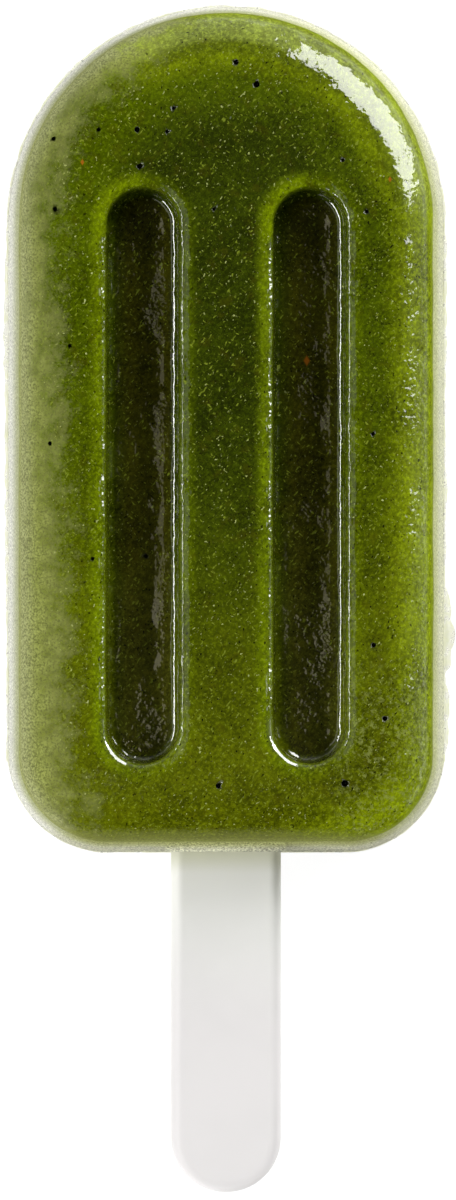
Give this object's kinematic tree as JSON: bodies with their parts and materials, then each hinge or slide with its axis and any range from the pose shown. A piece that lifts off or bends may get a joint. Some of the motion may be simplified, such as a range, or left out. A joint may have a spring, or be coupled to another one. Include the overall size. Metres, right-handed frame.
{
  "type": "ice pop",
  "caption": "Ice pop on a flat white stick: a half-round top end, rounded edges and long grooves in its front face.",
  "frame": {"origin": "middle of the ice's flat back face", "axes": "+Z out of the grooved front face, +Y towards the half-round end, away from the stick"},
  "size_m": [0.0536, 0.141, 0.022],
  "materials": {
    "ice": "wet frozen fruit and leaf puree, mottled green with fine flecks, frosted in the grooves and on the sides",
    "stick": "satin white moulded plastic"
  },
  "bodies": {
    "root": {"ice": "ice", "stick": "stick"}
  },
  "joints": []
}
